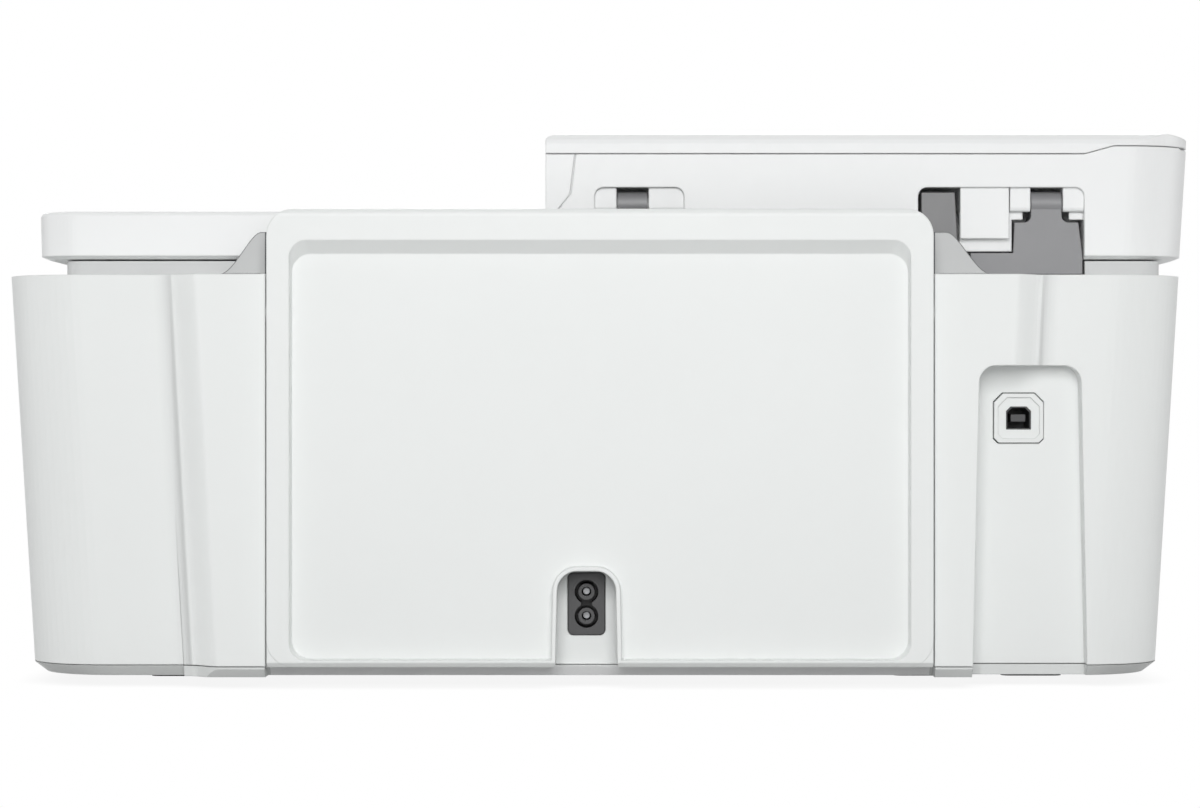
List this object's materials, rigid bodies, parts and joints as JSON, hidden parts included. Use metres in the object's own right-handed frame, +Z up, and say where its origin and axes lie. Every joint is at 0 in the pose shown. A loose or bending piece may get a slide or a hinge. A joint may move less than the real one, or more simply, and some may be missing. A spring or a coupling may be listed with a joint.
{
  "type": "inkjet printer",
  "caption": "Compact white inkjet printer with flatbed scanner, document feeder hump, folding rear paper tray, front output tray and working print mechanism.",
  "frame": {"origin": "centre of the footprint on the surface the feet stand on", "axes": "+X to the right seen from the front, +Y to the rear, +Z up"},
  "size_m": [0.4298, 0.332, 0.2],
  "materials": {
    "white_abs": "fine-grained moulded white ABS",
    "light_grey_abs": "light-grey moulded ABS",
    "mid_grey_abs": "mid-grey moulded ABS",
    "pan_grey_abs": "grey-white moulded ABS",
    "black_abs": "black moulded ABS",
    "panel_black": "polished black panel plastic",
    "acetal": "natural acetal gear plastic",
    "grip_rubber": "matt roller rubber",
    "foot_rubber": "matt rubber",
    "bright_steel": "plated steel",
    "clear_glass": "clear float glass",
    "clear_film": "clear coded film",
    "board": "green circuit laminate",
    "foam_white": "white backing sheet on foam",
    "display": "dark display window"
  },
  "bodies": {
    "body": {"outer_casing": "white_abs", "base_pan": "pan_grey_abs", "foot_pads": "foot_rubber", "paper_bay": "light_grey_abs", "print_frame": "bright_steel", "feed_motor": "bright_steel", "platen": "black_abs", "guide_rods": "bright_steel", "drive_belt": "grip_rubber", "carriage_motor": "bright_steel", "encoder_strip": "clear_film", "service_station": "mid_grey_abs", "main_board": "board", "power_supply": "black_abs", "power_inlet": "black_abs", "usb_port": "light_grey_abs", "scanner_frame": "white_abs", "scan_glass": "clear_glass", "lid_hinges": "mid_grey_abs", "control_panel": "panel_black", "display_window": "display"},
    "lid": {"lid_base": "white_abs", "backing_pad": "foam_white", "cable_channel": "mid_grey_abs", "document_tray": "light_grey_abs", "feeder_motor": "bright_steel"},
    "input_tray": {"input_tray": "white_abs"},
    "paper_width_guide": {"paper_width_guide": "light_grey_abs"},
    "pick_roller": {"pick_roller": "grip_rubber"},
    "feed_roller": {"feed_roller": "bright_steel"},
    "eject_roller": {"eject_roller": "grip_rubber"},
    "pinch_rollers": {"pinch_rollers": "black_abs"},
    "pick_idler_gear": {"pick_idler_gear": "acetal"},
    "eject_idler_gear": {"eject_idler_gear": "acetal"},
    "motor_pinion": {"motor_pinion": "acetal"},
    "carriage": {"carriage": "black_abs"},
    "black_cartridge": {"black_cartridge": "black_abs"},
    "color_cartridge": {"color_cartridge": "black_abs"},
    "black_latch": {"black_latch": "mid_grey_abs"},
    "color_latch": {"color_latch": "mid_grey_abs"},
    "motor_pulley": {"motor_pulley": "bright_steel"},
    "idler_pulley": {"idler_pulley": "acetal"},
    "scan_bar": {"scan_bar": "black_abs"},
    "feeder_cover": {"feeder_cover": "white_abs"},
    "document_extender": {"document_extender": "light_grey_abs"},
    "front_document_guide": {"front_document_guide": "light_grey_abs"},
    "rear_document_guide": {"rear_document_guide": "light_grey_abs"},
    "guide_pinion": {"guide_pinion": "acetal"},
    "document_pick_roller": {"document_pick_roller": "grip_rubber"},
    "document_drum": {"document_drum": "grip_rubber"},
    "document_exit_roller": {"document_exit_roller": "grip_rubber"},
    "document_exit_gear": {"document_exit_gear": "acetal"},
    "document_pick_gear": {"document_pick_gear": "acetal"},
    "feeder_pinion": {"feeder_pinion": "acetal"},
    "button_1": {"button_1": "light_grey_abs"},
    "button_2": {"button_2": "light_grey_abs"},
    "button_3": {"button_3": "light_grey_abs"},
    "cartridge_door": {"cartridge_door": "white_abs"},
    "output_tray": {"output_tray": "light_grey_abs"},
    "tray_stop": {"tray_stop": "light_grey_abs"}
  },
  "joints": [
    {"name": "lid_turn", "type": "hinge", "parent": "body", "child": "lid", "pos_m": [0.002, 0.117, 0.173], "axis": [-1, 0, 0], "range_deg": [0, 70]},
    {"name": "feeder_cover_turn", "type": "hinge", "parent": "lid", "child": "feeder_cover", "pos_m": [-0.2133, 0, 0.1962], "axis": [0, -1, 0], "range_deg": [0, 70]},
    {"name": "input_tray_turn", "type": "hinge", "parent": "body", "child": "input_tray", "pos_m": [0.002, 0.157, 0.132], "axis": [1, 0, 0], "range_deg": [0, 150]},
    {"name": "paper_width_guide_slide", "type": "slide", "parent": "body", "child": "paper_width_guide", "axis": [-1, 0, 0], "range_m": [0, 0.08]},
    {"name": "feed_roller_turn", "type": "hinge", "parent": "body", "child": "feed_roller", "pos_m": [0.002, 0.044, 0.043], "axis": [1, 0, 0], "continuous": true},
    {"name": "pick_roller_turn", "type": "hinge", "parent": "body", "child": "pick_roller", "pos_m": [0.002, 0.1051, 0.0772], "axis": [1, 0, 0], "continuous": true},
    {"name": "eject_roller_turn", "type": "hinge", "parent": "body", "child": "eject_roller", "pos_m": [0.002, -0.022, 0.044], "axis": [1, 0, 0], "continuous": true},
    {"name": "pinch_rollers_turn", "type": "hinge", "parent": "body", "child": "pinch_rollers", "pos_m": [0.002, 0.044, 0.0538], "axis": [1, 0, 0], "continuous": true},
    {"name": "pick_idler_gear_turn", "type": "hinge", "parent": "body", "child": "pick_idler_gear", "pos_m": [0.002, 0.07542, 0.06059], "axis": [1, 0, 0], "continuous": true},
    {"name": "eject_idler_gear_turn", "type": "hinge", "parent": "body", "child": "eject_idler_gear", "pos_m": [0.002, 0.0095, 0.04352], "axis": [1, 0, 0], "continuous": true},
    {"name": "motor_pinion_turn", "type": "hinge", "parent": "body", "child": "motor_pinion", "pos_m": [0.002, 0.056, 0.02221], "axis": [1, 0, 0], "continuous": true},
    {"name": "carriage_slide", "type": "slide", "parent": "body", "child": "carriage", "axis": [-1, 0, 0], "range_m": [0, 0.262]},
    {"name": "motor_pulley_turn", "type": "hinge", "parent": "body", "child": "motor_pulley", "pos_m": [-0.183, 0.044, 0], "axis": [0, 0, 1], "range_deg": [0, 2510]},
    {"name": "idler_pulley_turn", "type": "hinge", "parent": "body", "child": "idler_pulley", "pos_m": [0.187, 0.044, 0], "axis": [0, 0, 1], "range_deg": [0, 2510]},
    {"name": "black_cartridge_slide", "type": "slide", "parent": "carriage", "child": "black_cartridge", "axis": [0, -1, 0], "range_m": [0, 0.05]},
    {"name": "color_cartridge_slide", "type": "slide", "parent": "carriage", "child": "color_cartridge", "axis": [0, -1, 0], "range_m": [0, 0.05]},
    {"name": "black_latch_turn", "type": "hinge", "parent": "carriage", "child": "black_latch", "pos_m": [0.002, 0.0176, 0.1024], "axis": [-1, 0, 0], "range_deg": [0, 18]},
    {"name": "color_latch_turn", "type": "hinge", "parent": "carriage", "child": "color_latch", "pos_m": [0.002, 0.0176, 0.1024], "axis": [-1, 0, 0], "range_deg": [0, 18]},
    {"name": "scan_bar_slide", "type": "slide", "parent": "body", "child": "scan_bar", "axis": [1, 0, 0], "range_m": [0, 0.33]},
    {"name": "document_extender_slide", "type": "slide", "parent": "lid", "child": "document_extender", "axis": [1, 0, 0], "range_m": [0, 0.04]},
    {"name": "front_document_guide_slide", "type": "slide", "parent": "lid", "child": "front_document_guide", "axis": [0, 1, 0], "range_m": [0, 0.055]},
    {"name": "rear_document_guide_slide", "type": "slide", "parent": "lid", "child": "rear_document_guide", "axis": [0, -1, 0], "range_m": [0, 0.055]},
    {"name": "guide_pinion_turn", "type": "hinge", "parent": "lid", "child": "guide_pinion", "pos_m": [-0.049, -0.0125, 0], "axis": [0, 0, -1], "range_deg": [0, 660]},
    {"name": "document_drum_turn", "type": "hinge", "parent": "lid", "child": "document_drum", "pos_m": [-0.166, 0, 0.1709], "axis": [0, -1, 0], "continuous": true},
    {"name": "document_pick_roller_turn", "type": "hinge", "parent": "lid", "child": "document_pick_roller", "pos_m": [-0.1285, 0, 0.1849], "axis": [0, -1, 0], "continuous": true},
    {"name": "document_exit_roller_turn", "type": "hinge", "parent": "lid", "child": "document_exit_roller", "pos_m": [-0.1262, 0, 0.1669], "axis": [0, -1, 0], "continuous": true},
    {"name": "document_exit_gear_turn", "type": "hinge", "parent": "lid", "child": "document_exit_gear", "pos_m": [-0.14411, 0, 0.1687], "axis": [0, -1, 0], "continuous": true},
    {"name": "document_pick_gear_turn", "type": "hinge", "parent": "lid", "child": "document_pick_gear", "pos_m": [-0.14539, 0, 0.1786], "axis": [0, -1, 0], "continuous": true},
    {"name": "feeder_pinion_turn", "type": "hinge", "parent": "lid", "child": "feeder_pinion", "pos_m": [-0.18179, 0, 0.17665], "axis": [0, -1, 0], "continuous": true},
    {"name": "button_1_slide", "type": "slide", "parent": "body", "child": "button_1", "axis": [0, 1, 0], "range_m": [0, 0.0008], "stiffness_N_per_m": 600},
    {"name": "button_2_slide", "type": "slide", "parent": "body", "child": "button_2", "axis": [0, 1, 0], "range_m": [0, 0.0008], "stiffness_N_per_m": 600},
    {"name": "button_3_slide", "type": "slide", "parent": "body", "child": "button_3", "axis": [0, 1, 0], "range_m": [0, 0.0008], "stiffness_N_per_m": 600},
    {"name": "cartridge_door_turn", "type": "hinge", "parent": "body", "child": "cartridge_door", "pos_m": [0.002, -0.1634, 0.0666], "axis": [1, 0, 0], "range_deg": [0, 80]},
    {"name": "output_tray_slide", "type": "slide", "parent": "body", "child": "output_tray", "axis": [0, -1, 0], "range_m": [0, 0.09]},
    {"name": "tray_stop_turn", "type": "hinge", "parent": "output_tray", "child": "tray_stop", "pos_m": [0.002, -0.158, 0.0166], "axis": [1, 0, 0], "range_deg": [0, 100]}
  ],
  "couplings": [
    {"joint": "pick_roller_turn", "follows": "feed_roller_turn", "ratio": 1.125},
    {"joint": "eject_roller_turn", "follows": "feed_roller_turn", "ratio": 1.2},
    {"joint": "pinch_rollers_turn", "follows": "feed_roller_turn", "ratio": -2.0588},
    {"joint": "pick_idler_gear_turn", "follows": "feed_roller_turn", "ratio": -1},
    {"joint": "eject_idler_gear_turn", "follows": "feed_roller_turn", "ratio": -1.0909},
    {"joint": "motor_pinion_turn", "follows": "feed_roller_turn", "ratio": -3},
    {"joint": "motor_pulley_turn", "follows": "carriage_slide", "rad_per_m": 166.67},
    {"joint": "idler_pulley_turn", "follows": "carriage_slide", "rad_per_m": 166.67},
    {"joint": "rear_document_guide_slide", "follows": "front_document_guide_slide", "ratio": 1},
    {"joint": "guide_pinion_turn", "follows": "front_document_guide_slide", "rad_per_m": 208.33},
    {"joint": "document_pick_roller_turn", "follows": "document_drum_turn", "ratio": 1.5},
    {"joint": "document_exit_roller_turn", "follows": "document_drum_turn", "ratio": 1.5},
    {"joint": "document_exit_gear_turn", "follows": "document_drum_turn", "ratio": -1.2},
    {"joint": "document_pick_gear_turn", "follows": "document_drum_turn", "ratio": -1.2},
    {"joint": "feeder_pinion_turn", "follows": "document_drum_turn", "ratio": -2.5}
  ]
}
